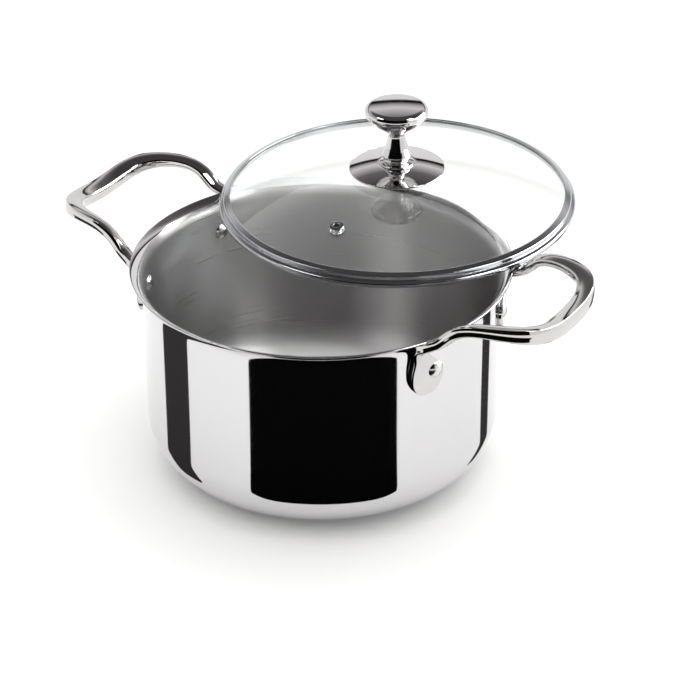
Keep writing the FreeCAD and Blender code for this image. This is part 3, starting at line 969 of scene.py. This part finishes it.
def dish_outline():
    """A low umbrella of sheet: a flat seat, then a slope that steepens to a rolled edge.

    At a distance r from the axis the slope lies (r^2 - seat^2) / (2 ball) below the seat.
    """
    r = np.linspace(GASKET_RADIUS, DISH_RADIUS - 0.4, 24)
    fall = (r**2 - GASKET_RADIUS**2) / (2 * DISH_BALL)
    seat_under = np.array([[DISH_BORE, DISH_FLOOR]])
    under = np.stack([r, DISH_FLOOR - fall], 1)
    roll = 0.5
    edge_middle = (DISH_RADIUS - roll, float(DISH_FLOOR + DISH_GAUGE / 2 - fall[-1]))
    edge = arc(edge_middle, roll, -80, 80, 9)
    top = np.stack([r, DISH_TOP - fall], 1)
    seat_top = np.array([[DISH_BORE, DISH_TOP]])
    return divided(np.vstack([seat_under, under, edge, top[::-1], seat_top]), 1.0)


def cap_top_outline():
    """The upper pressing: a rolled shoulder of radius q that runs smoothly into a flat crown.

    The crown's ball touches the roll from outside when its radius is
    ((R - q)^2 + h^2 - q^2) / (2 (h - q)), with R the knob's radius and h the pressing's height.
    """
    tall = KNOB_TOP - CAP_EQUATOR
    middle = KNOB_RADIUS - KNOB_ROLL
    ball = (middle**2 + tall**2 - KNOB_ROLL**2) / (2 * (tall - KNOB_ROLL))
    spread = math.degrees(math.asin(middle / (ball - KNOB_ROLL)))
    shoulder = arc((middle, CAP_EQUATOR), KNOB_ROLL, 0, 90 - spread, 16)
    crown = arc((0, KNOB_TOP - ball), ball, 90 - spread, 90, 40)
    inside = arc((0, KNOB_TOP - ball), ball - KNOB_GAUGE, 90, 90 - spread, 30)
    skirt = np.array([[KNOB_RADIUS - KNOB_GAUGE, CAP_EQUATOR]])
    return np.vstack([shoulder, crown[1:], inside, skirt])


def eyelet_outline():
    """The steam hole's eyelet: a tube through the glass, turned over into a flange each side."""
    top = GLASS_GAUGE / 2 + VENT_SEAT
    tube = VENT_HOLE - 0.1
    corners = [
        (VENT_BORE, -top - 0.6, 0.25),
        (VENT_FLANGE, -top - 0.5, 0.25),
        (VENT_FLANGE, -top, 0.1),
        (tube, -top, 0),
        (tube, top, 0),
        (VENT_FLANGE, top, 0.1),
        (VENT_FLANGE, top + 0.55, 0.3),
        (VENT_BORE, top + 0.75, 0.45),
    ]
    return divided(rounded(corners, steps=6), 0.6)


def make_lid():
    """The glass in its ring, with the steam hole's eyelet, and the knob's dish, post and cap."""
    place = on_the_rim()
    make_glass(place)
    turned(
        "lid_ring_rolled",
        ring_outline(),
        "lid",
        ring_steel,
        place,
        replaces=["lid_ring"],
        slot="ring_steel",
        sharp=60,
    )
    for name, finish, outline, spokes, closed in (
        ("knob_dish", "pressed", dish_outline(), 160, True),
        ("knob_neck", "turned", neck_outline(), 128, False),
        ("knob_cap_under", "turned", cap_under_outline(), 128, False),
        ("knob_cap_top", "pressed", cap_top_outline(), 128, True),
    ):
        turned(
            f"{name}_{finish}",
            outline,
            "lid",
            knob_steel,
            place,
            spokes=spokes,
            closed=closed,
            replaces=[name],
            slot="knob_steel",
        )
    turned(
        "vent_eyelet_closed",
        eyelet_outline(),
        "lid",
        ring_steel,
        vent_seat(place),
        spokes=64,
        replaces=["vent_eyelet"],
        slot="ring_steel",
    )


def dress_kept_nodes():
    """The small pieces that keep their own meshes get their finish here."""
    finishes = {
        "base_spreader_disc": bare_aluminium,
        "knob_gasket": black_silicone,
        "under_gasket": black_silicone,
        "plain_washer": zinc_steel,
        "spring_washer": zinc_steel,
        "knob_screw": zinc_steel,
    }
    for name, material in finishes.items():
        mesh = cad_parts[name].data
        mesh.materials.clear()
        mesh.materials.append(material)


# ---- studio --------------------------------------------------------------------------------


def plain_surface(name, shade, roughness):
    """A flat colour without shine, for the cards and the floor."""
    material, tree, out = new_material(name)
    shader = add(
        tree,
        "ShaderNodeBsdfPrincipled",
        values={"Base Color": colour(shade), "Roughness": roughness, "Specular IOR Level": 0.0},
    )
    tree.links.new(shader.outputs[0], out.inputs["Surface"])
    return material


def staged_sheet(name, corners, material, seen=True):
    """A flat sheet of the studio. One that isn't seen only shows in what the metal reflects."""
    mesh = bpy.data.meshes.new(name)
    points = [tuple(c * MM for c in corner) for corner in corners]
    mesh.from_pydata(points, [], [tuple(range(len(points)))])
    mesh.materials.append(material)
    sheet = bpy.data.objects.new(name, mesh)
    bpy.context.scene.collection.objects.link(sheet)
    if not seen:
        sheet.visible_camera = False
        sheet.visible_diffuse = False
        sheet.visible_shadow = False
        sheet.visible_transmission = False


# The camera's way round and up from the rim's middle, its distance, and the small turns after.
CAMERA_TURN = 32.0
CAMERA_RISE = 27.65
CAMERA_REACH = 1356.0
CAMERA_PAN = 0.72
CAMERA_TILT = 2.21
CAMERA_ROLL = 0.48
CAMERA_LENS = 117.7

FLOOR_HALF = 2000.0
FLAG_REACH = 420.0
FLAG_ROUNDING = 7.0


def floor_flag(name, left, right, card, gap, up):
    """A dark flag near the floor, whose reflection fills the wall between two angles.

    The angles count from the camera's side. A wall point at an angle b throws the camera's sight
    out along 2 b, so the flag fills the ground between the two sight lines that leave the wall.
    It starts a gap off the wall. With u running from -1 to 1 across it, the gap grows by the
    rounding times u^8, which rounds the reflection's lower corners.
    """
    share = np.linspace(-1, 1, 49)
    angle = (left + right) / 2 + share * (right - left) / 2
    foot = np.radians(CAMERA_TURN - 90 + angle)
    away = np.radians(CAMERA_TURN - 90 + 2 * angle)
    wall = np.stack([np.cos(foot), np.sin(foot)], 1) * WALL
    heading = np.stack([np.cos(away), np.sin(away)], 1)
    near = wall + heading * (gap + FLAG_ROUNDING * share**8)[:, None]
    far = wall + heading * FLAG_REACH
    edge = np.vstack([near, far[::-1]])
    staged_sheet(name, [(*p, up) for p in edge], card, seen=False)


def curtain(name, turn, half, distance, low, high):
    """An upright black sheet, seen only in the metal's reflections.

    It stands square across a direction, whose angle counts from the camera's side.
    """
    a = math.radians(CAMERA_TURN - 90 + turn)
    out = np.array([math.cos(a), math.sin(a)]) * distance
    side = np.array([-math.sin(a), math.cos(a)]) * half
    left, right = out + side, out - side
    corners = [(*left, low), (*right, low), (*right, high), (*left, high)]
    staged_sheet(name, corners, black_card, seen=False)


def look_along(direction):
    """The turn that points an object's own -Z along a direction, with its Y upward."""
    return Vector(direction).to_track_quat("-Z", "Y")


def soft_box(name, place, target, size, power, glossy=True, diffuse=True):
    """A soft light at a place, facing a target, with its power in watts.

    One that isn't glossy never shows in the metal, and one that isn't diffuse shows only there.
    """
    data = bpy.data.lights.new(name, "AREA")
    data.shape = "RECTANGLE"
    data.size, data.size_y = size
    data.energy = power
    lamp = bpy.data.objects.new(name, data)
    bpy.context.scene.collection.objects.link(lamp)
    lamp.location = [c * MM for c in place]
    lamp.rotation_euler = look_along(np.array(target) - np.array(place)).to_euler()
    lamp.visible_glossy = glossy
    lamp.visible_diffuse = diffuse
    lamp.visible_camera = False


# The world's shades by height, as the upward part of a direction: white up to about 21 degrees,
# a black line above it, then pale, and dark grey from about 53 degrees to overhead.
SKY = [
    (0.355, "#FFFFFF"),
    (0.372, "#060606"),
    (0.405, "#0A0A0A"),
    (0.455, "#C8C5C6"),
    (0.50, "#F0EEEF"),
    (0.56, "#C4C1C2"),
    (0.64, "#767475"),
    (0.80, "#4C4A4B"),
    (1.0, "#4C4A4B"),
]


def make_world():
    """Light from all round, whose shade changes with height as the sky's list says."""
    world = bpy.data.worlds.new("Studio")
    bpy.context.scene.world = world
    world.use_nodes = True
    tree = world.node_tree
    tree.nodes.clear()
    place = add(tree, "ShaderNodeTexCoord")
    parts = add(tree, "ShaderNodeSeparateXYZ", links={0: place.outputs["Generated"]})
    ramp = add(tree, "ShaderNodeValToRGB", links={0: parts.outputs[2]})
    stops = ramp.color_ramp.elements
    for stop, (height, shade) in zip(stops, (SKY[0], SKY[-1])):
        stop.position, stop.color = height, colour(shade)
    for height, shade in SKY[1:-1]:
        stops.new(height).color = colour(shade)
    glow = add(tree, "ShaderNodeBackground", links={0: ramp.outputs[0]}, values={"Strength": 1.0})
    out = add(tree, "ShaderNodeOutputWorld")
    tree.links.new(glow.outputs[0], out.inputs[0])


def turning(axis, degrees):
    """The 3 x 3 matrix that turns by an angle about one of the three axes, by the right hand."""
    c, s = math.cos(math.radians(degrees)), math.sin(math.radians(degrees))
    i, j = (axis + 1) % 3, (axis + 2) % 3
    matrix = np.eye(3)
    matrix[i, i], matrix[i, j], matrix[j, i], matrix[j, j] = c, -s, s, c
    return matrix


def make_camera():
    """A long lens that looks down on the rim, with the rim's middle left of and above its axis."""
    pose = turning(2, CAMERA_TURN) @ turning(0, 90 - CAMERA_RISE)
    rim = np.array([0, 0, RIM_HEIGHT])
    place = rim + pose[:, 2] * CAMERA_REACH
    pose = pose @ turning(2, -CAMERA_ROLL) @ turning(1, -CAMERA_PAN) @ turning(0, -CAMERA_TILT)
    data = bpy.data.cameras.new("Camera")
    data.sensor_width = 36.0
    data.lens = CAMERA_LENS
    data.clip_end = 50
    camera = bpy.data.objects.new("Camera", data)
    bpy.context.scene.collection.objects.link(camera)
    matrix = np.eye(4)
    matrix[:3, :3], matrix[:3, 3] = pose, place * MM
    camera.matrix_world = Matrix(matrix.tolist())
    bpy.context.scene.camera = camera


def make_floor():
    """A pale floor, so wide that its edge meets the white of the horizon."""
    signs = ((-1, -1), (1, -1), (1, 1), (-1, 1))
    staged_sheet("Floor", [(x * FLOOR_HALF, y * FLOOR_HALF, 0) for x, y in signs], pale_floor)


def make_cards():
    """What the metal sees as dark: flags by the floor, and three curtains behind the camera."""
    floor_flag("Front flag", -23.5, 24.0, black_card, gap=4.0, up=22.0)
    floor_flag("Left flag", -61.0, -47.5, grey_card, gap=8.0, up=1.0)
    floor_flag("Right flag", 62.7, 69.0, grey_card, gap=8.0, up=1.0)
    for turn in (-54, -18, 18):
        curtain(f"Curtain at {turn}", turn, half=850.0, distance=2200.0, low=60.0, high=3000.0)


def make_lights():
    """One wide light overhead, which metal doesn't show, and three that show only in metal."""
    middle = (0, 0, 120)
    soft_box("Overhead", (0, 0, 2500), (0, 0, 0), (6.0, 6.0), 190.0, glossy=False)
    soft_box("Left box", (-891, -802, 1500), middle, (0.70, 0.30), 3.5, diffuse=False)
    soft_box("Right box", (1180, 120, 1250), middle, (0.40, 0.80), 9.0, diffuse=False)
    soft_box("Side panel", (1130, 980, 650), middle, (1.3, 0.8), 38.0, diffuse=False)


black_card = plain_surface("Black card", "#070707", 0.9)
grey_card = plain_surface("Dark grey card", "#343233", 0.9)
pale_floor = plain_surface("Pale floor", "#F4F4F3", 0.75)

make_pot()
make_base()
make_rivets()
make_handles()
make_lid()
dress_kept_nodes()

make_floor()
make_cards()
make_lights()
make_world()
make_camera()
bpy.context.scene.view_settings.view_transform = "Standard"
